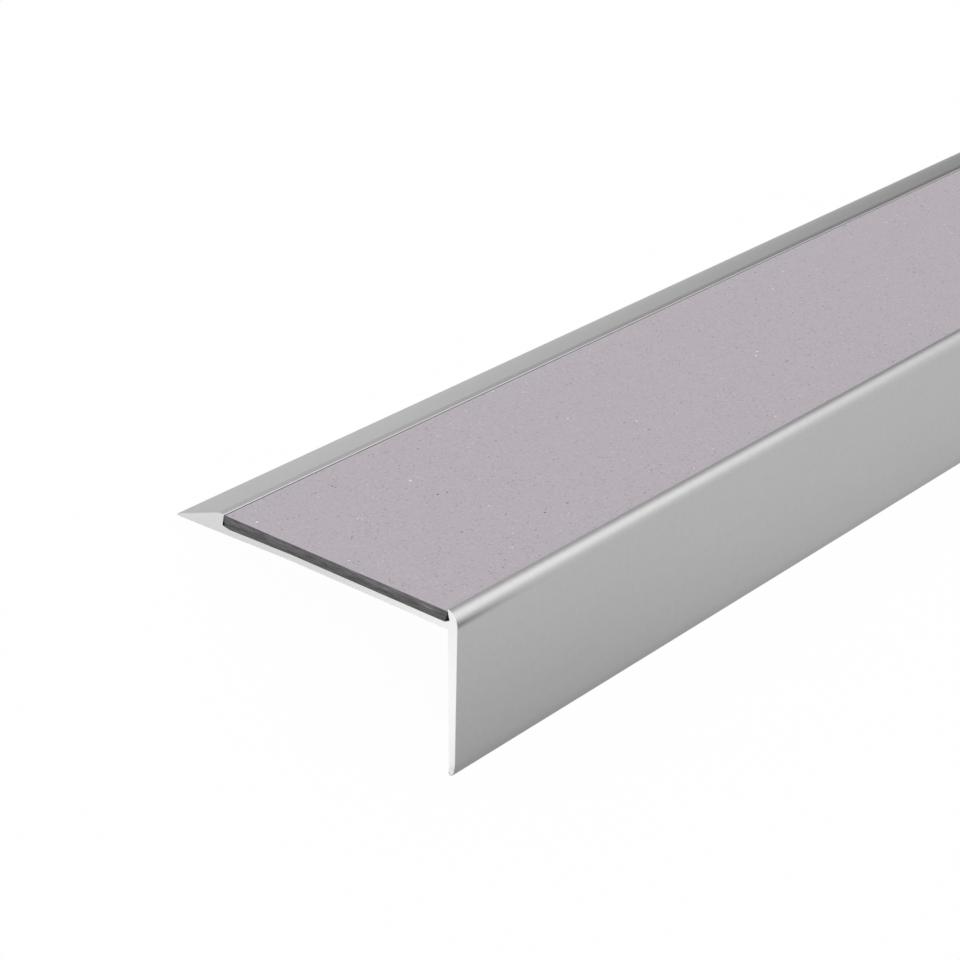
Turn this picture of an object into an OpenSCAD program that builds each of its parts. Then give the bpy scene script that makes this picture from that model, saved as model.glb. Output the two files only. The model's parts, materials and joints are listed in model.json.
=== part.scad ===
// Stair nosing: an extruded L-section with a ramped back edge, and a non-slip strip in its recess.
// The section is drawn as it sits on a stair, with y to the back and z up, from the inside corner
// where the stair's edge goes. The part then lies as it rests on a floor, on its toe and its ramp's tip.

/* [Stock] */
// Length of the cut piece
stock_length = 900; // [100:10:3000]

/* [Tread plate] */
// Thickness of the plate under the strip
plate_t = 1.2; // [0.8:0.1:3]
// Depth from the nose face to the mouth of the recess
lip_depth = 1.95; // [1.6:0.05:3]
// Lean of the two undercut recess walls, in degrees
undercut = 12.8; // [4:0.2:20]
// Depth of the plate's drooping back, in front of the recess's back wall
droop_run = 15.5; // [8:0.5:20]
// Height of the sloped fill in the recess's front corner
front_fill = 0.5; // [0.1:0.05:0.8]
// Height of the sloped fill in the recess's back corner
back_fill = 0.35; // [0.1:0.05:0.8]
// Depth of the sloped fill in the recess's back corner
back_fill_run = 1.7; // [0.8:0.05:2.5]
// Rise of the lip above the strip
lip_rise = 0.4; // [0.1:0.05:1]
// Radius of the lip's tip
lip_r = 0.2; // [0.1:0.05:0.4]

/* [Ramp] */
// Depth from the mouth of the recess to the ramp's tip
ramp_run = 11.6; // [6:0.05:30]
// Rise of the crest above the strip
crest_rise = 0.05; // [0:0.05:0.5]
// Depth of the level crest behind the mouth of the recess
crest_land = 1.15; // [0.8:0.05:2]
// Radius of the crest's front edge
crest_r = 0.2; // [0.1:0.05:0.4]
// Radius between the crest and the ramp
ramp_r = 4; // [0.5:0.1:4]
// Radius of the ramp's tip
tip_r = 0.15; // [0.1:0.05:0.3]
// How far the tip is set below the seat, so that it bears on the stair first
tip_drop = 0.7; // [0:0.05:1]

/* [Nose and riser leg] */
// Outside radius of the nose
nose_r = 2.8; // [2:0.1:6]
// Thickness of the leg at the nose
leg_t = 1.95; // [1.6:0.05:3]
// Thickness of the leg at the toe
toe_t = 1.26; // [0.8:0.02:1.6]
// How far the toe stands proud of the leg's inner face
toe_bead = 0.14; // [0:0.02:0.4]
// Drop of the toe below the seat
leg_drop = 26.4; // [18:0.1:60]

/* [Glue grooves] */
// Spacing of the grooves
groove_pitch = 0.7; // [0.5:0.05:1.5]
// Width of a groove at its mouth
groove_w = 0.4; // [0.2:0.02:0.48]
// Depth of a groove
groove_d = 0.15; // [0.05:0.01:0.3]
// Plain strip of the seat beside the inside corner
corner_land = 6; // [2:0.5:15]
// Plain strip of the seat in front of the recess's back wall
heel_land = 5.15; // [2:0.05:7]
// Plain strip of the leg below the inside corner
leg_land = 10; // [2:0.5:12]
// Plain strip of the leg above the toe
toe_land = 6; // [3:0.5:12]

/* [Strip] */
// Width of the non-slip strip
strip_w = 49.3; // [30:0.1:90]
// Thickness of the strip in front of the plate's bend
strip_t = 2; // [1.2:0.1:4]
// Clearance between the lip and the strip
front_gap = 0.1; // [0.05:0.05:0.4]
// Clearance between the strip and the crest
back_gap = 0.05; // [0.05:0.05:0.6]
// Radius of the strip's upper front edge
front_edge_r = 0.2; // [0.1:0.05:0.5]
// Radius of the strip's upper back edge
back_edge_r = 0.4; // [0.1:0.05:0.5]
// Lean of the strip's knife-cut front side, in degrees
front_lean = 18; // [0:0.5:20]
// Lean of the strip's knife-cut back side, in degrees
back_lean = 0; // [0:0.5:20]

/* [Hidden] */

// Colours of the anodised profile and of the strip
profile_colour = [0.68, 0.69, 0.69];
strip_colour = [0.71, 0.69, 0.71];

// Largest turn of one step along an arc, in degrees
arc_step = 6;

// Levels above the seat
strip_top = plate_t + strip_t;
crest_top = strip_top + crest_rise;
lip_top = strip_top + lip_rise;

// Depths from the leg's inner face, along the section
nose_face = -leg_t;
mouth_front = nose_face + lip_depth;
mouth_back = mouth_front + front_gap + strip_w + back_gap;
tip_end = mouth_back + ramp_run;
bend = mouth_back - droop_run;
ramp_start = mouth_back + crest_land;
strip_front = mouth_front + front_gap;
strip_back = strip_front + strip_w;

// Centres of the section's arcs
lip_z = lip_top - lip_r;
lip_c = [mouth_front + ((lip_z - strip_top) * sin(undercut) - lip_r) / cos(undercut), lip_z];
nose_y = nose_face + nose_r;
nose_c = [nose_y, lip_z - sqrt(pow(nose_r - lip_r, 2) - pow(nose_y - lip_c.x, 2))];
crest_z = crest_top - crest_r;
crest_c = [mouth_back + (crest_r - (crest_z - strip_top) * sin(undercut)) / cos(undercut), crest_z];
tip_c = [tip_end - tip_r, tip_r - tip_drop];
toe_r = (toe_t + toe_bead) / 2;
toe_c = [toe_bead - toe_r, toe_r - leg_drop];
front_edge_c = [strip_front + front_edge_r, strip_top - front_edge_r];
back_edge_c = [strip_back - back_edge_r, strip_top - back_edge_r];

// Directions in the section, in degrees from the back
function bearing(from, to) = atan2(to.y - from.y, to.x - from.x);
nose_end = bearing(nose_c, lip_c);
leg_span = norm(nose_c - toe_c);
leg_taper = asin((nose_r - toe_r) / leg_span) - (90 - bearing(toe_c, nose_c));
ramp_top = [ramp_start, crest_top];
ramp_fall = -bearing(ramp_top, tip_c) - asin(tip_r / norm(tip_c - ramp_top));
blend_r = min(ramp_r, (ramp_start - crest_c.x) / tan(ramp_fall / 2));
blend_c = [ramp_start - blend_r * tan(ramp_fall / 2), crest_top - blend_r];
bend_point = [bend, 0];
droop = -bearing(bend_point, tip_c) + asin(tip_r / norm(tip_c - bend_point));
droop_back = [cos(droop), -sin(droop)];
droop_up = [sin(droop), cos(droop)];

// Ways up the recess's walls and up the strip's sides
front_wall = [sin(undercut), cos(undercut)];
back_wall = [-sin(undercut), cos(undercut)];
front_side = [-sin(front_lean), cos(front_lean)];
back_side = [sin(back_lean), cos(back_lean)];

// Where the line through p along u meets the line through q along v
function meet(p, u, q, v) = p + u * cross(q - p, v) / cross(u, v);

// Front corner of the recess: the fill slopes down from the wall to where the strip begins
floor_bend = [bend, plate_t];
front_leave = front_edge_c - front_edge_r * [cos(front_lean), sin(front_lean)];
front_low = meet(front_leave, front_side, floor_bend, [1, 0]);
front_foot = meet([mouth_front, strip_top], front_wall, floor_bend, [1, 0]);
front_high = front_foot + front_fill / cos(undercut) * front_wall;

// Back corner of the recess: the fill slopes up to the wall, below the strip's back
back_foot = meet([mouth_back, strip_top], back_wall, floor_bend, droop_back);
back_low = back_foot - back_fill_run * droop_back;
back_high = back_foot + back_fill / cos(undercut) * back_wall;

// Foot of the strip's back side: on the fill, or on the floor in front of it
back_leave = back_edge_c + back_edge_r * [cos(back_lean), -sin(back_lean)];
foot_on_fill = meet(back_leave, back_side, back_low, back_high - back_low);
foot_on_floor = meet(back_leave, back_side, floor_bend, droop_back);
strip_heel = foot_on_fill.x > back_low.x ? [back_low, foot_on_fill] : [foot_on_floor];

// Height at which the toe's round leaves the leg's inner face
toe_rise = toe_c.y + sqrt(pow(toe_r, 2) - pow(toe_c.x, 2));
toe_leave = bearing(toe_c, [0, toe_rise]);

// How the part lies on a level floor: the line below the toe and the tip becomes level
rest_span = norm(tip_c - toe_c);
rest_tilt = bearing(toe_c, tip_c) + asin((toe_r - tip_r) / rest_span);
function back_at_rest(p) = p.x * cos(rest_tilt) + p.y * sin(rest_tilt);
function up_at_rest(p) = p.y * cos(rest_tilt) - p.x * sin(rest_tilt);
floor_level = up_at_rest(toe_c) - toe_r;
rest_front = back_at_rest(toe_c) - toe_r;
rest_back = back_at_rest(tip_c) + tip_r;

// Points along an arc, both ends included
function arc(centre, radius, start, end) =
    let (steps = max(2, ceil(abs(end - start) / arc_step)))
    [for (i = [0:steps]) let (a = start + (end - start) * i / steps) centre + radius * [cos(a), sin(a)]];

// Points of a row of grooves: along is the row's direction, into is the way that the grooves cut
function grooves(start, run, along, into) =
    let (count = max(0, floor(run / groove_pitch)))
    let (margin = (run - (count - 1) * groove_pitch - groove_w) / 2)
    [for (i = [0:1:count - 1], corner = [0:2])
        start
            + (margin + i * groove_pitch + corner * groove_w / 2) * along
            + (corner == 1 ? groove_d : 0) * into];

// Seat under the tread plate, from the inside corner to the ramp's tip
function seat_points() = concat(
    [[0, 0]],
    grooves([corner_land, 0], bend - corner_land, [1, 0], [0, 1]),
    [bend_point],
    grooves(bend_point, droop_run - heel_land, droop_back, droop_up),
    arc(tip_c, tip_r, -90 - droop, 90 - ramp_fall)
);

// Ramp's top, crest and recess, from the ramp to the lip's foot
function recess_points() = concat(
    arc(blend_c, blend_r, 90 - ramp_fall, 90),
    arc(crest_c, crest_r, 90, 180 + undercut),
    [back_high, back_low, floor_bend, front_low, front_high]
);

// Lip, nose and leg, from the lip's inner wall down to the toe and up the leg's inner face
function leg_points() = concat(
    arc(lip_c, lip_r, -undercut, nose_end),
    arc(nose_c, nose_r, nose_end, 180 + leg_taper),
    arc(toe_c, toe_r, 180 + leg_taper, 360 + toe_leave),
    grooves([0, toe_land - leg_drop], leg_drop - leg_land - toe_land, [0, 1], [-1, 0])
);

// Lays a section along the stock and turns it to its resting place on the floor
module lay_on_floor() {
    translate([0, -(rest_front + rest_back) / 2, -floor_level])
        rotate([-rest_tilt, 0, 0])
            rotate([90, 0, 90])
                linear_extrude(height = stock_length, center = true)
                    children();
}

// Extruded aluminium L-section
module nosing_profile() {
    color(profile_colour)
        lay_on_floor()
            polygon(concat(seat_points(), recess_points(), leg_points()));
}

// Non-slip strip, lying on the recess's floor
module tread_insert() {
    color(strip_colour)
        lay_on_floor()
            polygon(concat(
                [front_low, floor_bend],
                strip_heel,
                arc(back_edge_c, back_edge_r, -back_lean, 90),
                arc(front_edge_c, front_edge_r, 90, 180 + front_lean)
            ));
}

nosing_profile();
tread_insert();
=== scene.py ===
"""Looks of a stair nosing: the anodised section, its non-slip strip and the strip's mineral grains."""

import json
import math
from typing import NamedTuple

import bmesh
import bpy
import numpy as np
from mathutils import Matrix, Vector


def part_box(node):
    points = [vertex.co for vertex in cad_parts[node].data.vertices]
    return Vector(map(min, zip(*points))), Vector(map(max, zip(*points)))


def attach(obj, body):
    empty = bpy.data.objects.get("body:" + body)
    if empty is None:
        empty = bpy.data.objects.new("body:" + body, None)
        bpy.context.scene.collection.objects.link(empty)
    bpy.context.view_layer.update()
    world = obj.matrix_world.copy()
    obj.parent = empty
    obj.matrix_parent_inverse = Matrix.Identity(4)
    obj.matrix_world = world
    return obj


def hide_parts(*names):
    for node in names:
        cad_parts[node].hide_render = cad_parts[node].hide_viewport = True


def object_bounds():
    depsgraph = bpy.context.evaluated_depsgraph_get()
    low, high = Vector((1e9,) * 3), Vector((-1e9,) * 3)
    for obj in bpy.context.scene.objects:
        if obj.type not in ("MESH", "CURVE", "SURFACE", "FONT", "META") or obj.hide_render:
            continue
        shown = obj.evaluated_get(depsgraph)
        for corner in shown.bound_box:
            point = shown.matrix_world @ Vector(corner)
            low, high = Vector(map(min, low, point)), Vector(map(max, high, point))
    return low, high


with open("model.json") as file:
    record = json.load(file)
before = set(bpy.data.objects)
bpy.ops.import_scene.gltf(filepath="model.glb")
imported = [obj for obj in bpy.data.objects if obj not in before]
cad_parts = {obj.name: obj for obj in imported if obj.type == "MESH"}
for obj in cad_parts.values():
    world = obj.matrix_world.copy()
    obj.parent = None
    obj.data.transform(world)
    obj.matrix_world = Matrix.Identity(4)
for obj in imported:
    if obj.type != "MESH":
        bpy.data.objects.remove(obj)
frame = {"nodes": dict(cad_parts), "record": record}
cad_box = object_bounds()

MM = 0.001
FULL_TURN = 2.0 * math.pi
BODY = "root"

# Photograph's camera, from the near end's inside corner, with the tread level
PHOTO_SIDE_PX = 960
FOCAL_PX = 2553.0
SENSOR_WIDTH_MM = 36.0
CAMERA_SPOT = Vector((-253.6, -228.75, 193.75)) * MM
CAMERA_YAW = math.radians(41.22)
CAMERA_PITCH = math.radians(26.21)
CLIP_START = 0.01
CLIP_END = 200.0

# Edges of the pieces, and how far a face looks along the stock or up to count as an end or as the top
SAW_BURR = 0.05 * MM
KNIFE_EDGE = 0.04 * MM
CREASE = math.radians(28.0)
MITRE_LIMIT = 0.5
END_FACING = 0.3
TOP_FACING = 0.3

# Decimal places, in metres, at which two points of a CAD mesh count as one
POINT_PLACES = 8

# Toe of the riser leg, in the section: its front bows back to a small round tip, below a bead
TOE_TOP = -25.0 * MM
BOW_START = -23.5 * MM
TIP_RADIUS = 0.5 * MM
TIP_BACK = 0.12 * MM
BEAD_TOP = -24.8 * MM
ARC_STEPS = 8

# Ranges of noise that are spread over a material's tones, and the middle of noise
WIDE_NOISE = (0.25, 0.75)
USUAL_NOISE = (0.3, 0.7)
PATCH_NOISE = (0.35, 0.65)
TORN_NOISE = (0.45, 0.62)
NOISE_MIDDLE = 0.5

# Anodised faces. Noise is in features per metre, along the stock, to the back and up
ANODISED_GREY = (0.46, 0.46, 0.46)
ANODISED_ROUGHNESS = (0.30, 0.36)
DRAWN_LINES = (5.0, 3200.0, 3200.0)
DRAWN_TONES = (0.985, 1.005)
ETCHED_GRAIN = (5200.0, 5200.0, 5200.0)
ETCHED_TONES = (-0.01, 0.01)
CLOUDS = (40.0, 160.0, 160.0)
CLOUD_TONES = (-0.008, 0.008)
MOTTLE = (1000.0, 1000.0, 1000.0)
MOTTLE_TONES = (-0.02, 0.02)

# Painted shade below the nose, at the near end: a darker band in the metal's colour that fades along the
# stock
NOSE_SHADE_LEVEL = 1.33 * MM
NOSE_SHADE_SPREAD = 0.9 * MM
NOSE_SHADE_LENGTH = 34.0 * MM
NOSE_SHADE_FADE = 3.0
NOSE_SHADE_FRONT = -1.6 * MM
NOSE_SHADE_BACK = -1.2 * MM
NOSE_SHADE_TONE = 0.38

# Painted highlight on the crest's front edge, beside the strip
CREST_FRONT = 49.4 * MM
CREST_MIDDLE = 49.55 * MM
CREST_BACK = 49.75 * MM
CREST_LEVEL = 3.0 * MM
CREST_HIGHLIGHT_TONE = 1.28

# Sawn ends, with arcs round the saw blade's axis
SAWN_GREY = (0.84, 0.84, 0.84)
SAWN_ROUGHNESS = (0.42, 0.55)
SAWN_GRAIN = (4000.0, 4000.0, 4000.0)
SAWN_TONES = (-0.02, 0.02)
BLADE_AXIS = (0.0, -60.0 * MM, -110.0 * MM)
BLADE_ARCS = 700.0
BLADE_WANDER = 4.0
BLADE_TONES = (0.985, 1.0)

# Strip's face
VINYL_MAUVE = (0.4655, 0.4245, 0.4655)
VINYL_ROUGHNESS = (0.62, 0.74)
VINYL_SPECULAR = 0.2
PEBBLES = (1500.0, 1500.0, 1500.0)
PEBBLE_TONES = (0.94, 1.06)
DUST = (3600.0, 3600.0, 3600.0)
DUST_TONES = (-0.07, 0.07)
BLOTCHES = (420.0, 420.0, 420.0)
BLOTCH_TONES = (-0.008, 0.008)

# Strip's sawn body. Levels run from 0 at the strip's foot to 1 at its top: where the backing changes to
# the wear layer, and each torn line's middle and spread
STRIP_FOOT = 1.2 * MM
STRIP_TOP = 3.2 * MM
BACKING_GREY = (0.092, 0.093, 0.092)
WEAR_MAUVE = (0.135, 0.124, 0.135)
LAYER_CHANGE = (0.56, 0.66)
LAYER_WAVER = 0.4 * MM
TORN_LINES = ((0.42, 0.05), (0.60, 0.07))
CUT_ROUGHNESS = (0.55, 0.75)
CUT_SPECULAR = 0.3
STREAKS = (300.0, 330.0, 3400.0)
STREAK_TONES = (0.60, 1.40)
CHIPS = (3000.0, 3000.0, 3000.0)
CHIP_TONES = (-0.18, 0.18)
TEARS = (200.0, 240.0, 1500.0)
PATCHES = (200.0, 180.0, 1200.0)
PATCH_TONES = (-0.2, 0.16)

# Grains in the strip's face
GRAIN_SEED = 41
GRAIN_SIDES = 3
GRAIN_TURNS = np.arange(GRAIN_SIDES) * FULL_TURN / GRAIN_SIDES
GRAIN_BED = 0.002 * MM
GRAIN_REACH = (0.6, 1.3)
GRAIN_SPREAD = 0.3
PEAK_SPREAD = 0.12
EDGE_MARGIN = 0.25 * MM
FACE_DEPTH = 0.01 * MM

# Loose patches in which the grains lie denser
DENSE_WAVES = 10
DENSE_SCALE = 900.0
DENSE_PULL = 0.06
SPARE_PLACES = 3

# Grains' bake map
BAKE_MAP = "OFBake"
MAP_MARGIN = 0.02
MAP_GRAIN = 0.004

# Floor, world and studio mats
WHITE = (1.0, 1.0, 1.0, 1.0)
FLOOR_HALF = 40.0
FLOOR_LEVEL = -0.02 * MM
FLOOR_COLOUR = (0.9, 0.9, 0.9, 1.0)
FLOOR_ROUGHNESS = 0.9
FLOOR_WHITE = 0.98
FLOOR_MIRRORED = 0.55
WORLD_LIGHT = 0.78
MAT_LEVEL = 0.1 * MM
BACK_MAT_GAP = 1.0 * MM
TOE_MAT_LAP = 1.5 * MM
TOE_SHADE = 5.0 * MM
END_MAT_GAP = 0.2 * MM


class Mineral(NamedTuple):
    """A kind of grain. Rise is a grain's height over its size. A skew over 1 makes more of them light."""

    name: str
    dark: tuple
    light: tuple
    roughness: float
    count: int
    size: float
    rise: float
    skew: float = 1.0


class Shade(NamedTuple):
    """A run of brightness over a card: its axis, where it starts and ends, and its levels there."""

    axis: str
    start: float
    end: float
    first: float
    last: float


DARK_MINERALS = (
    Mineral(
        "dark_mineral", dark=(0.035, 0.032, 0.035), light=(0.40, 0.365, 0.40), roughness=0.6,
        count=24000, size=0.275 * MM, rise=0.06, skew=3.0,
    ),
    Mineral(
        "faint_mineral", dark=(0.24, 0.219, 0.24), light=(0.38, 0.347, 0.38), roughness=0.6,
        count=24000, size=0.33 * MM, rise=0.05,
    ),
)
PALE_MINERALS = (
    Mineral(
        "pale_mineral", dark=(0.52, 0.485, 0.52), light=(0.66, 0.62, 0.66), roughness=0.5,
        count=9000, size=0.30 * MM, rise=0.06,
    ),
    Mineral(
        "quartz", dark=(0.80, 0.80, 0.80), light=(0.95, 0.95, 0.95), roughness=0.15,
        count=340, size=0.40 * MM, rise=0.20,
    ),
    Mineral(
        "rusty_mineral", dark=(0.15, 0.065, 0.07), light=(0.44, 0.30, 0.31), roughness=0.5,
        count=220, size=0.34 * MM, rise=0.10,
    ),
)


# Frame of the section, as it sits on a stair

def stair_frame():
    """Origin at the inside corner, x along the stock, y to the back and z up from the seat."""
    mounts = {mount["name"]: mount for mount in frame["record"]["mounts"]}
    seat = Vector(mounts["tread_seat"]["pos_m"])
    riser = Vector(mounts["riser_seat"]["pos_m"])
    up = -Vector(mounts["tread_seat"]["axis"]).normalized()
    back = Vector(mounts["riser_seat"]["axis"]).normalized()
    corner = seat + back * (riser - seat).dot(back)
    turn = Matrix((Vector((1, 0, 0)), back, up)).transposed().to_4x4()
    return Matrix.Translation(corner) @ turn


STAIR = stair_frame()
STAIR_UP = STAIR.to_3x3() @ Vector((0, 0, 1))
STOCK_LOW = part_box("nosing_profile")[0].x
STOCK_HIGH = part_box("nosing_profile")[1].x


# Shader helpers

def new_material(name):
    """An empty material with its Principled shader, as (material, tree, shader)."""
    material = bpy.data.materials.new(name)
    material.use_nodes = True
    tree = material.node_tree
    return material, tree, tree.nodes["Principled BSDF"]


def add(tree, kind, settings=None, **inputs):
    """A shader node. Inputs go by name, with spaces as underscores, and are values or sockets."""
    node = tree.nodes.new("ShaderNode" + kind)
    for name, value in (settings or {}).items():
        setattr(node, name, value)
    for name, value in inputs.items():
        join(tree, node.inputs[name.replace("_", " ")], value)
    return node


def join(tree, socket, value):
    """Links a socket to another socket, or sets its value."""
    if isinstance(value, bpy.types.NodeSocket):
        tree.links.new(value, socket)
    else:
        socket.default_value = value


def calculate(tree, operation, first, second=0.0):
    """One sum on two values, as a socket."""
    node = add(tree, "Math", {"operation": operation})
    join(tree, node.inputs[0], first)
    join(tree, node.inputs[1], second)
    return node.outputs[0]


def combine(tree, operation, value, *others):
    """Several values added or multiplied together, as a socket."""
    for other in others:
        value = calculate(tree, operation, value, other)
    return value


def calculate_vector(tree, operation, first, second):
    """One sum on two vectors, as a socket."""
    node = add(tree, "VectorMath", {"operation": operation})
    join(tree, node.inputs[0], first)
    join(tree, node.inputs[1], second)
    return node.outputs[0]


def remap(tree, value, low, high, out_low, out_high):
    """A value moved from one range to another and held inside it, as a socket."""
    node = add(
        tree, "MapRange", Value=value, From_Min=low, From_Max=high, To_Min=out_low, To_Max=out_high
    )
    return node.outputs["Result"]


def band(tree, value, middle, spread):
    """How near a value is to a level, from 1 at the level to 0 at a distance from it, as a socket."""
    distance = calculate(tree, "ABSOLUTE", calculate(tree, "SUBTRACT", value, middle))
    return remap(tree, distance, 0.0, spread, 1.0, 0.0)


def stair_point(tree):
    """The shaded point in the section's frame, in metres, as a socket."""
    place = add(tree, "TexCoord").outputs["Object"]
    mapping = add(tree, "Mapping", {"vector_type": "TEXTURE"}, Vector=place)
    mapping.inputs["Location"].default_value = STAIR.translation
    mapping.inputs["Rotation"].default_value = STAIR.to_euler()
    return mapping.outputs["Vector"]


def noise(tree, point, density, detail=2.0, roughness=0.5):
    """Noise from 0 to 1 at a point, with its density along each axis, as a socket."""
    place = calculate_vector(tree, "MULTIPLY", point, density)
    texture = add(tree, "TexNoise", Vector=place, Scale=1.0, Detail=detail, Roughness=roughness)
    return texture.outputs["Fac"]


def tinted(tree, colour, factor):
    """A colour times a value, as a socket."""
    node = add(tree, "VectorMath", {"operation": "SCALE"}, Scale=factor)
    join(tree, node.inputs[0], colour)
    return node.outputs[0]


def two_tone(tree, value, first, second, places=(0.0, 1.0)):
    """A colour that runs from one to another as a value goes from place to place, as a socket."""
    node = add(tree, "ValToRGB", Fac=value)
    for element, place, colour in zip(node.color_ramp.elements, places, (first, second)):
        element.position = place
        element.color = (*colour, 1.0)
    return node.outputs["Color"]


def bump(tree, shader, height, depth, strength):
    """Gives a shader a relief of that depth."""
    node = add(tree, "Bump", Height=height, Distance=depth, Strength=strength)
    tree.links.new(node.outputs["Normal"], shader.inputs["Normal"])


# Materials

def painted_nose_shade(tree, point):
    """Where painted shade darkens the face below the nose at the near end, from 0 to 1, as a socket."""
    x, y, z = add(tree, "SeparateXYZ", Vector=point).outputs
    fade = remap(tree, x, STOCK_LOW, STOCK_LOW + NOSE_SHADE_LENGTH, 1.0, 0.0)
    fade = calculate(tree, "POWER", fade, NOSE_SHADE_FADE)
    on_front = remap(tree, y, NOSE_SHADE_FRONT, NOSE_SHADE_BACK, 1.0, 0.0)
    return combine(tree, "MULTIPLY", band(tree, z, NOSE_SHADE_LEVEL, NOSE_SHADE_SPREAD), fade, on_front)


def painted_crest_highlight(tree, point):
    """Where a painted highlight brightens the crest's front edge, from 0 to 1, as a socket."""
    _, y, z = add(tree, "SeparateXYZ", Vector=point).outputs
    past_front = calculate(tree, "GREATER_THAN", y, CREST_FRONT)
    fade = remap(tree, y, CREST_MIDDLE, CREST_BACK, 1.0, 0.0)
    above = calculate(tree, "GREATER_THAN", z, CREST_LEVEL)
    return combine(tree, "MULTIPLY", past_front, fade, above)


def anodised_metal():
    """Satin anodised aluminium, with fine lines along the extrusion, an etched grain, a faint mottle,
    painted shade below the nose at the near end and a painted highlight on the crest's front edge.
    """
    material, tree, shader = new_material("anodised_metal")
    point = stair_point(tree)
    lines = noise(tree, point, DRAWN_LINES, detail=3.0)
    grain = noise(tree, point, ETCHED_GRAIN)
    tone = combine(
        tree, "ADD",
        remap(tree, lines, *USUAL_NOISE, *DRAWN_TONES),
        remap(tree, grain, *USUAL_NOISE, *ETCHED_TONES),
        remap(tree, noise(tree, point, CLOUDS), *USUAL_NOISE, *CLOUD_TONES),
        remap(tree, noise(tree, point, MOTTLE), *USUAL_NOISE, *MOTTLE_TONES),
    )
    # Painted shade: the metal's colour darkened below the nose at the near end
    nose_shaded = remap(tree, painted_nose_shade(tree, point), 0.0, 1.0, 1.0, NOSE_SHADE_TONE)
    # Painted highlight: the metal's colour brightened on the crest's front edge
    crest_highlighted = remap(tree, painted_crest_highlight(tree, point), 0.0, 1.0, 1.0, CREST_HIGHLIGHT_TONE)
    tone = combine(tree, "MULTIPLY", tone, nose_shaded, crest_highlighted)
    join(tree, shader.inputs["Base Color"], tinted(tree, ANODISED_GREY, tone))
    join(tree, shader.inputs["Roughness"], remap(tree, lines, *USUAL_NOISE, *ANODISED_ROUGHNESS))
    shader.inputs["Metallic"].default_value = 1.0
    bump(tree, shader, calculate(tree, "ADD", lines, grain), depth=0.0015 * MM, strength=0.6)
    return material


def sawn_metal():
    """Bare aluminium of the sawn ends, with the blade's faint arcs."""
    material, tree, shader = new_material("sawn_metal")
    point = stair_point(tree)
    sweep = add(
        tree, "TexWave", {"wave_type": "RINGS", "rings_direction": "X"},
        Vector=calculate_vector(tree, "SUBTRACT", point, BLADE_AXIS),
        Scale=BLADE_ARCS, Distortion=BLADE_WANDER, Detail=3.0,
    ).outputs["Fac"]
    grain = noise(tree, point, SAWN_GRAIN)
    tone = calculate(
        tree, "ADD",
        remap(tree, sweep, 0.0, 1.0, *BLADE_TONES),
        remap(tree, grain, *USUAL_NOISE, *SAWN_TONES),
    )
    join(tree, shader.inputs["Base Color"], tinted(tree, SAWN_GREY, tone))
    join(tree, shader.inputs["Roughness"], remap(tree, grain, *USUAL_NOISE, *SAWN_ROUGHNESS))
    shader.inputs["Metallic"].default_value = 1.0
    bump(tree, shader, sweep, depth=0.004 * MM, strength=0.25)
    return material


def vinyl_face():
    """Matt mauve-grey vinyl of the wearing face, with a fine mottle and a soft pebbled relief."""
    material, tree, shader = new_material("vinyl_face")
    point = stair_point(tree)
    pebbles = noise(tree, point, PEBBLES, roughness=0.6)
    blotches = noise(tree, point, BLOTCHES)
    tone = combine(
        tree, "ADD",
        remap(tree, pebbles, *WIDE_NOISE, *PEBBLE_TONES),
        remap(tree, noise(tree, point, DUST), *WIDE_NOISE, *DUST_TONES),
        remap(tree, blotches, *USUAL_NOISE, *BLOTCH_TONES),
    )
    join(tree, shader.inputs["Base Color"], tinted(tree, VINYL_MAUVE, tone))
    join(tree, shader.inputs["Roughness"], remap(tree, pebbles, *USUAL_NOISE, *VINYL_ROUGHNESS))
    shader.inputs["Specular IOR Level"].default_value = VINYL_SPECULAR
    bump(tree, shader, calculate(tree, "ADD", pebbles, blotches), depth=0.02 * MM, strength=0.35)
    return material


def vinyl_cut():
    """Dark body of the strip where it is cut: a wear layer over a backing, with torn light lines."""
    material, tree, shader = new_material("vinyl_cut")
    point = stair_point(tree)
    height = add(tree, "SeparateXYZ", Vector=point).outputs["Z"]
    streaks = noise(tree, point, STREAKS, detail=3.0)
    chips = noise(tree, point, CHIPS)
    tears = noise(tree, point, TEARS)
    patches = noise(tree, point, PATCHES)
    waver = calculate(tree, "MULTIPLY", calculate(tree, "SUBTRACT", patches, NOISE_MIDDLE), LAYER_WAVER)
    level = remap(tree, calculate(tree, "ADD", height, waver), STRIP_FOOT, STRIP_TOP, 0.0, 1.0)
    layers = two_tone(tree, level, BACKING_GREY, WEAR_MAUVE, LAYER_CHANGE)
    lines = combine(tree, "ADD", *(band(tree, level, *line) for line in TORN_LINES))
    tone = combine(
        tree, "ADD",
        remap(tree, streaks, *USUAL_NOISE, *STREAK_TONES),
        calculate(tree, "MULTIPLY", lines, remap(tree, tears, *TORN_NOISE, 0.0, 1.0)),
        remap(tree, chips, *USUAL_NOISE, *CHIP_TONES),
        remap(tree, patches, *PATCH_NOISE, *PATCH_TONES),
    )
    join(tree, shader.inputs["Base Color"], tinted(tree, layers, tone))
    join(tree, shader.inputs["Roughness"], remap(tree, chips, *USUAL_NOISE, *CUT_ROUGHNESS))
    shader.inputs["Specular IOR Level"].default_value = CUT_SPECULAR
    bump(tree, shader, calculate(tree, "ADD", streaks, chips), depth=0.03 * MM, strength=0.4)
    return material


def grain_material(mineral):
    """A mineral whose grains differ in tone from dark to light."""
    material, tree, shader = new_material(mineral.name)
    tone = add(tree, "Attribute", {"attribute_name": "tone"}).outputs["Fac"]
    join(tree, shader.inputs["Base Color"], two_tone(tree, tone, mineral.dark, mineral.light))
    shader.inputs["Roughness"].default_value = mineral.roughness
    return material


# Meshes

def new_object(name, data):
    """An object in the scene with that mesh, lamp or camera."""
    thing = bpy.data.objects.new(name, data)
    bpy.context.scene.collection.objects.link(thing)
    return thing


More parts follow.
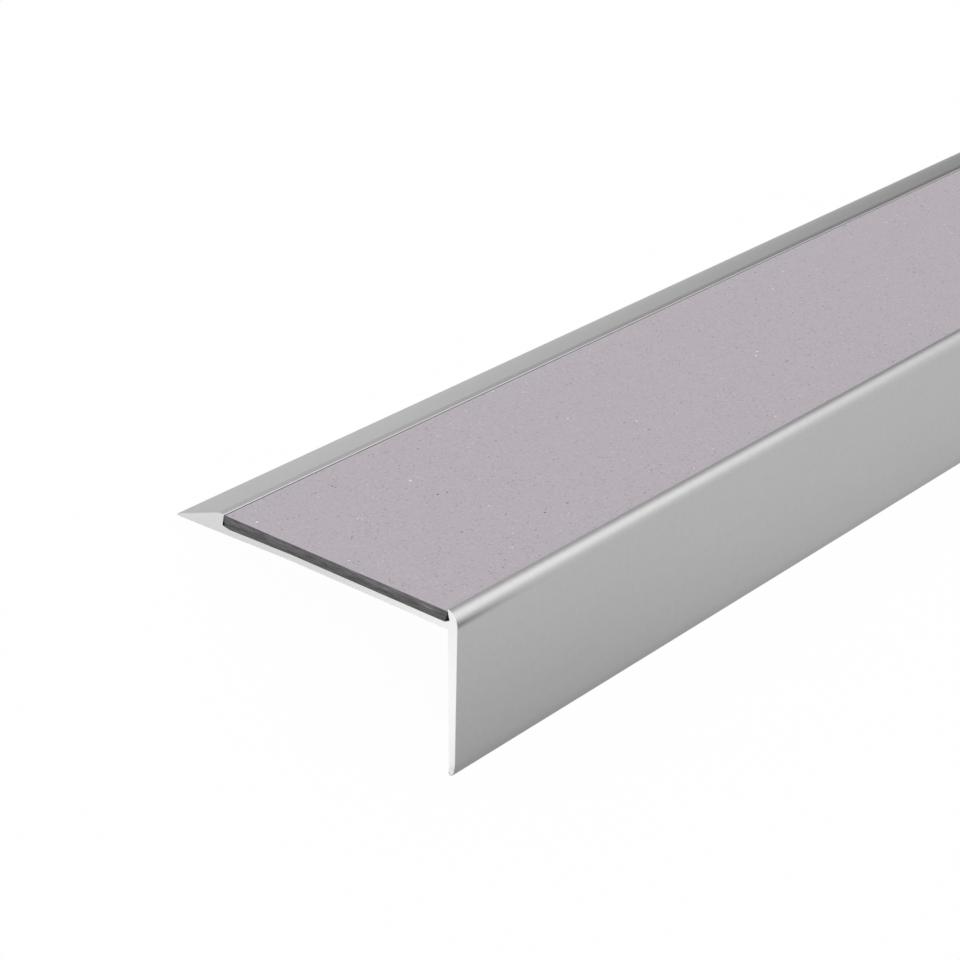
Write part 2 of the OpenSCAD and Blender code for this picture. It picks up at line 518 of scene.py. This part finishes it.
def end_outline(node):
    """The sawn end's outline of a CAD node, as section points (y, z) in the stair's frame, in order."""
    mesh = frame["nodes"][node].data
    to_stair = STAIR.inverted()
    low = min(vertex.co.x for vertex in mesh.vertices)
    edges = {}
    for polygon in mesh.polygons:
        corners = [mesh.vertices[i].co for i in polygon.vertices]
        if max(corner.x for corner in corners) > low + SAW_BURR / 2:
            continue
        keys = [tuple(round(value, POINT_PLACES) for value in corner.yz) for corner in corners]
        for start, end in zip(keys, keys[1:] + keys[:1]):
            if edges.get(end) and start in edges[end]:
                edges[end].remove(start)
            else:
                edges.setdefault(start, []).append(end)
    first = next(key for key, ends in edges.items() if ends)
    outline = [first]
    while edges[outline[-1]][0] != first:
        outline.append(edges[outline[-1]][0])
    points = [to_stair @ Vector((low, *key)) for key in outline]
    return np.array([(point.y, point.z) for point in points])


def directions(angles):
    """Unit vectors at some angles, in radians."""
    return np.stack((np.cos(angles), np.sin(angles)), axis=1)


def arc(centre, radius, start, end):
    """Points of an arc in the section. Its ends are directions, in radians from the back."""
    return centre + radius * directions(np.linspace(start, end, ARC_STEPS + 1))


def bowed_toe(outline):
    """The outline with a toe that bows back to a round tip, which touches the floor as the toe did."""
    in_toe = outline[:, 1] < TOE_TOP
    turned = np.roll(outline, -np.argmax(in_toe & ~np.roll(in_toe, 1)), axis=0)
    toe, rest = np.split(turned, [np.count_nonzero(in_toe)])
    front_first = rest[-1][0] < rest[0][0]
    face_top, face_foot = (rest[-1], toe[0]) if front_first else (rest[0], toe[-1])
    fall = (face_foot - face_top) / np.linalg.norm(face_foot - face_top)
    start = face_top + fall * (BOW_START - face_top[1]) / fall[1]
    down = np.array((STAIR.to_3x3().inverted() @ Vector((0.0, 0.0, -1.0))).yz)
    tip_y = TIP_BACK - TIP_RADIUS
    tip = np.array((tip_y, ((outline @ down).max() - TIP_RADIUS - tip_y * down[0]) / down[1]))
    inward = np.array((-fall[1], fall[0]))
    reach = start - tip
    bow_radius = (TIP_RADIUS ** 2 - reach @ reach) / (2.0 * (inward @ reach + TIP_RADIUS))
    bow = start + bow_radius * inward
    bow_end = math.atan2(tip[1] - bow[1], tip[0] - bow[0])
    front = arc(bow, bow_radius, math.atan2(-inward[1], -inward[0]), bow_end)
    tip_round = arc(tip, TIP_RADIUS, bow_end, 0.0)
    points = np.concatenate((front, tip_round[1:], [(0.0, BEAD_TOP)]))
    return np.concatenate((points if front_first else points[::-1], rest))


def inset(outline, distance):
    """An outline moved inwards by a small distance, with its corners mitred."""
    before = outline - np.roll(outline, 1, axis=0)
    after = np.roll(outline, -1, axis=0) - outline
    sides = [side / np.linalg.norm(side, axis=1, keepdims=True) for side in (before, after)]
    turn = np.sign(np.sum(outline[:, 0] * after[:, 1] - outline[:, 1] * after[:, 0]))
    normals = [turn * np.stack((-side[:, 1], side[:, 0]), axis=1) for side in sides]
    mitre = normals[0] + normals[1]
    mitre /= np.maximum(np.sum(mitre * normals[0], axis=1, keepdims=True), MITRE_LIMIT)
    return outline + distance * mitre


def is_end(normal):
    """Whether a face that looks that way belongs to a sawn end."""
    return abs(normal.x) > END_FACING


def is_cut(normal):
    """Whether a face that looks that way was cut: an end, a side or the underside, and not the top."""
    return is_end(normal) or normal.dot(STAIR_UP) <= TOP_FACING


def extruded(name, outline, edge, skin, core, shows_core):
    """A piece of stock with its section's outline and softened sawn edges, in two materials."""
    narrow = inset(outline, edge)
    stations = (
        (STOCK_LOW, narrow),
        (STOCK_LOW + edge, outline),
        (STOCK_HIGH - edge, outline),
        (STOCK_HIGH, narrow),
    )
    work = bmesh.new()
    rings = [[work.verts.new(STAIR @ Vector((x, y, z))) for y, z in ring] for x, ring in stations]
    count = len(outline)
    for ring, following in zip(rings, rings[1:]):
        for i in range(count):
            j = (i + 1) % count
            work.faces.new((ring[i], ring[j], following[j], following[i]))
    caps = [work.faces.new(rings[0]), work.faces.new(rings[-1])]
    bmesh.ops.recalc_face_normals(work, faces=work.faces)
    for face in work.faces:
        face.smooth = True
        face.material_index = int(shows_core(face.normal))
    bmesh.ops.triangulate(work, faces=caps)
    mesh = bpy.data.meshes.new(name)
    work.to_mesh(mesh)
    work.free()
    mesh.set_sharp_from_angle(angle=CREASE)
    mesh.materials.append(skin)
    mesh.materials.append(core)
    piece = new_object(name, mesh)
    weighted = piece.modifiers.new("flat_sides", "WEIGHTED_NORMAL")
    weighted.keep_sharp = True
    return piece


def scatter(rng, count, low, high):
    """Places on the strip, denser in some loose patches than in others."""
    waves = rng.normal(size=(DENSE_WAVES, 2)) * DENSE_SCALE
    phases = rng.uniform(0.0, FULL_TURN, DENSE_WAVES)
    places = rng.uniform(low, high, size=(SPARE_PLACES * count, 2))
    density = np.cos(places @ waves.T + phases).sum(axis=1)
    order = np.argsort(rng.uniform(size=len(places)) - DENSE_PULL * density)
    return places[order[:count]]


def grains(rng, places, sizes, rise):
    """Flat faceted chips that are bedded in the face: points and faces of a few sides and a base each."""
    count = len(places)
    angles = rng.uniform(0.0, FULL_TURN, (count, 1)) + GRAIN_TURNS
    reach = sizes[:, None] / 2.0 * rng.uniform(*GRAIN_REACH, (count, GRAIN_SIDES))
    points = np.zeros((count, GRAIN_SIDES + 1, 3))
    points[:, :GRAIN_SIDES, 0] = places[:, :1] + reach * np.cos(angles)
    points[:, :GRAIN_SIDES, 1] = places[:, 1:] + reach * np.sin(angles)
    points[:, :GRAIN_SIDES, 2] = -GRAIN_BED
    points[:, GRAIN_SIDES, :2] = places + rng.normal(size=(count, 2)) * sizes[:, None] * PEAK_SPREAD
    points[:, GRAIN_SIDES, 2] = sizes * rise
    ring = list(range(GRAIN_SIDES))
    chip = [(i, (i + 1) % GRAIN_SIDES, GRAIN_SIDES) for i in ring] + [tuple(reversed(ring))]
    faces = [[k * (GRAIN_SIDES + 1) + i for i in face] for k in range(count) for face in chip]
    return points.reshape(-1, 3), faces


def tone_map(tones, row, rows):
    """Corners of each chip's faces in a bake map, which has a row from dark to light for each mineral."""
    triangle = np.array(((-1.0, -1.0), (1.0, -1.0), (0.0, 1.0)))
    corners = np.concatenate([triangle] * GRAIN_SIDES + [directions(GRAIN_TURNS)]) * MAP_GRAIN
    across_map = MAP_MARGIN + (1.0 - 2.0 * MAP_MARGIN) * tones
    up_map = np.full(len(tones), (row + 0.5) / rows)
    return np.stack((across_map, up_map), axis=1)[:, None] + corners[None]


def mineral_grains(name, outline, seed, minerals):
    """Grains of some minerals over the whole wearing face, as one mesh."""
    rng = np.random.default_rng(seed)
    top = outline[:, 1].max()
    face = outline[outline[:, 1] > top - FACE_DEPTH]
    low = np.array((STOCK_LOW + EDGE_MARGIN, face[:, 0].min() + EDGE_MARGIN))
    high = np.array((STOCK_HIGH - EDGE_MARGIN, face[:, 0].max() - EDGE_MARGIN))
    points, faces, tones, slots, corners = [], [], [], [], []
    start = 0
    for slot, mineral in enumerate(minerals):
        sizes = mineral.size * np.exp(rng.normal(size=mineral.count) * GRAIN_SPREAD)
        made, shells = grains(rng, scatter(rng, mineral.count, low, high), sizes, mineral.rise)
        tone = 1.0 - rng.uniform(size=mineral.count) ** mineral.skew
        points.append(made + (0.0, 0.0, top))
        faces += [[start + i for i in shell] for shell in shells]
        tones.append(np.repeat(tone, GRAIN_SIDES + 1))
        slots.append(np.full(len(shells), slot))
        corners.append(tone_map(tone, slot, len(minerals)).reshape(-1))
        start += len(made)
    turn = np.array(STAIR.to_3x3())
    mesh = bpy.data.meshes.new(name)
    mesh.from_pydata(np.concatenate(points) @ turn.T + np.array(STAIR.translation), [], faces)
    mesh.polygons.foreach_set("material_index", np.concatenate(slots))
    mesh.attributes.new("tone", "FLOAT", "POINT").data.foreach_set("value", np.concatenate(tones))
    mesh.uv_layers.new(name=BAKE_MAP).data.foreach_set("uv", np.concatenate(corners))
    for mineral in minerals:
        mesh.materials.append(grain_material(mineral))
    return new_object(name, mesh)


# Stage

def make_camera():
    """The photograph's camera."""
    data = bpy.data.cameras.new("camera")
    data.sensor_width = SENSOR_WIDTH_MM
    data.lens = FOCAL_PX / PHOTO_SIDE_PX * SENSOR_WIDTH_MM
    data.clip_start = CLIP_START
    data.clip_end = CLIP_END
    camera = new_object("camera", data)
    yaw = Matrix.Rotation(CAMERA_YAW - math.pi / 2, 4, "Z")
    pitch = Matrix.Rotation(math.pi / 2 - CAMERA_PITCH, 4, "X")
    spot = Matrix.Translation(CAMERA_SPOT + Vector((STOCK_LOW, 0, 0)))
    camera.matrix_world = STAIR @ spot @ yaw @ pitch
    bpy.context.scene.camera = camera


def paper_white(tree, mirrored):
    """How far the camera sees plain white, and how far metal or glass mirrors it, as a socket."""
    path = add(tree, "LightPath").outputs
    indirect = calculate(tree, "MAXIMUM", path["Is Glossy Ray"], path["Is Transmission Ray"])
    reflected = calculate(tree, "MULTIPLY", indirect, mirrored)
    return calculate(tree, "MAXIMUM", path["Is Camera Ray"], reflected)


def sheet(name, corners, material):
    """A flat sheet with four corners."""
    mesh = bpy.data.meshes.new(name)
    mesh.from_pydata(corners, [], [(0, 1, 2, 3)])
    mesh.materials.append(material)
    return new_object(name, mesh)


def across(angle, distance, offset=0.0):
    """A point across the stock, at an angle from the front and moved square to that, as (y, z)."""
    turn = math.radians(angle)
    y = -distance * math.cos(turn) + offset * math.sin(turn)
    z = distance * math.sin(turn) + offset * math.cos(turn)
    return y, z


def panel(angle, distance, height, low, high):
    """Corners of a long sheet that faces the stock."""
    below = across(angle, distance, -height / 2)
    above = across(angle, distance, height / 2)
    return [(low, *below), (high, *below), (high, *above), (low, *above)]


def mat(low, high, front, back, level=MAT_LEVEL):
    """Corners of a level sheet."""
    return [(low, front, level), (high, front, level), (high, back, level), (low, back, level)]


def make_floor():
    """A wide pale floor that shows as white and keeps a faint shadow."""
    material, tree, shader = new_material("floor_paper")
    shader.inputs["Base Color"].default_value = FLOOR_COLOUR
    shader.inputs["Roughness"].default_value = FLOOR_ROUGHNESS
    shader.inputs["Specular IOR Level"].default_value = 0.0
    glow = add(tree, "Emission", Color=WHITE, Strength=1.0)
    white = calculate(tree, "MULTIPLY", paper_white(tree, FLOOR_MIRRORED), FLOOR_WHITE)
    mix = add(tree, "MixShader", Fac=white)
    tree.links.new(shader.outputs["BSDF"], mix.inputs[1])
    tree.links.new(glow.outputs["Emission"], mix.inputs[2])
    tree.links.new(mix.outputs["Shader"], tree.nodes["Material Output"].inputs["Surface"])
    corners = mat(-FLOOR_HALF, FLOOR_HALF, -FLOOR_HALF, FLOOR_HALF, FLOOR_LEVEL)
    floor = sheet("floor", corners, material)


def make_world():
    """Soft even light, and white behind the object."""
    world = bpy.data.worlds.new("studio")
    world.use_nodes = True
    tree = world.node_tree
    light = tree.nodes["Background"]
    light.inputs["Color"].default_value = WHITE
    strength = remap(tree, paper_white(tree, 1.0), 0.0, 1.0, WORLD_LIGHT, 1.0)
    join(tree, light.inputs["Strength"], strength)
    bpy.context.scene.world = world


def make_lamp(name, angle, distance, size, radiance):
    """A soft lamp that lights the scene and isn't mirrored in the metal."""
    lamp = bpy.data.lights.new(name, "AREA")
    lamp.shape = "RECTANGLE"
    lamp.size, lamp.size_y = size
    lamp.energy = radiance * math.pi * size[0] * size[1]
    piece = new_object(name, lamp)
    piece.location = (0.0, *across(angle, distance))
    piece.rotation_euler = (math.radians(90.0 - angle), 0.0, 0.0)
    piece.visible_glossy = False


def make_card(name, corners, *shades):
    """A studio card that only the metal mirrors. Its shades multiply."""
    material, tree, _ = new_material(name)
    place = add(tree, "SeparateXYZ", Vector=add(tree, "TexCoord").outputs["Object"]).outputs
    level = 1.0
    for axis, *run in shades:
        level = calculate(tree, "MULTIPLY", remap(tree, place[axis], *run), level)
    glow = add(tree, "Emission", Strength=level)
    tree.links.new(glow.outputs["Emission"], tree.nodes["Material Output"].inputs["Surface"])
    card = sheet(name, corners, material)
    for kind in ("camera", "diffuse", "transmission", "volume_scatter", "shadow"):
        setattr(card, "visible_" + kind, False)


def make_front_cards():
    """Cards that stand in front of the stock and over it."""
    make_card(
        "front_panel",
        panel(angle=62.0, distance=1.2, height=1.0, low=-2.0, high=1.9),
        Shade("X", start=0.82, end=1.32, first=1.90, last=1.0),
        Shade("Z", start=0.82, end=1.1, first=0.85, last=1.0),
    )
    make_card(
        "low_panel",
        panel(angle=33.5, distance=1.3, height=0.26, low=-2.0, high=1.9),
        Shade("X", start=0.8, end=1.25, first=1.3, last=1.0),
    )
    make_card(
        "top_flag",
        panel(angle=119.0, distance=1.0, height=0.5, low=-2.5, high=2.5),
        Shade("X", start=0.3, end=0.9, first=0.55, last=0.22),
    )
    make_card(
        "far_flag",
        panel(angle=100.0, distance=1.0, height=0.16, low=0.6, high=2.5),
        Shade("X", start=0.71, end=0.95, first=1.0, last=0.3),
    )


def make_back_cards():
    """Cards that lie and stand behind the stock."""
    make_card(
        "back_mat",
        mat(low=-2.0, high=3.0, front=cad_box[1].y + BACK_MAT_GAP, back=0.6),
        Shade("X", start=-0.40, end=-0.12, first=0.875, last=0.3),
        Shade("Y", start=0.045, end=0.09, first=1.0, last=0.8),
    )
    make_card(
        "back_flag",
        panel(angle=165.0, distance=0.62, height=0.32, low=-2.0, high=3.0),
        Shade("X", start=0.05, end=0.55, first=0.92, last=0.12),
    )


def make_front_mats():
    """Cards that lie in front of the stock and at its near end. The first two share an edge."""
    toe_edge = cad_box[0].y + TOE_MAT_LAP
    middle = -0.07
    middle_level = 0.77
    make_card(
        "front_mat",
        mat(low=-2.0, high=2.0, front=-0.14, back=middle),
        Shade("Y", start=-0.10, end=middle, first=0.97, last=middle_level),
        Shade("X", start=-0.45, end=-0.29, first=1.0, last=1.085),
        Shade("X", start=-0.29, end=-0.20, first=1.0, last=0.95),
    )
    make_card(
        "toe_mat",
        mat(low=-2.0, high=2.0, front=middle, back=toe_edge),
        Shade("Y", start=middle, end=toe_edge, first=middle_level, last=0.62),
        Shade("Y", start=toe_edge - TOE_SHADE, end=toe_edge, first=1.0, last=0.8),
        Shade("X", start=-0.45, end=-0.33, first=1.0, last=1.22),
    )
    make_card(
        "end_mat",
        mat(low=-0.9, high=cad_box[0].x - END_MAT_GAP, front=-0.25, back=0.25),
        Shade("Y", start=-0.018, end=0.006, first=1.26, last=0.785),
        Shade("Y", start=-0.034, end=-0.014, first=0.80, last=1.0),
    )


# Assembly

profile_outline = bowed_toe(end_outline("nosing_profile"))
strip_outline = end_outline("tread_insert")

profile = extruded("aluminium_profile", profile_outline, SAW_BURR, anodised_metal(), sawn_metal(), is_end)
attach(profile, BODY)
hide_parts("nosing_profile")

strip = extruded("vinyl_strip", strip_outline, KNIFE_EDGE, vinyl_face(), vinyl_cut(), is_cut)
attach(strip, BODY)
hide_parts("tread_insert")

for i, (name, minerals) in enumerate((("dark_grains", DARK_MINERALS), ("pale_grains", PALE_MINERALS))):
    speckle = mineral_grains(name, strip_outline, GRAIN_SEED + i, minerals)
    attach(speckle, BODY)

make_camera()
make_floor()
make_world()
make_lamp("back_lamp", angle=135.0, distance=1.3, size=(2.4, 0.8), radiance=0.9)
make_front_cards()
make_back_cards()
make_front_mats()
bpy.context.scene.view_settings.view_transform = "Standard"
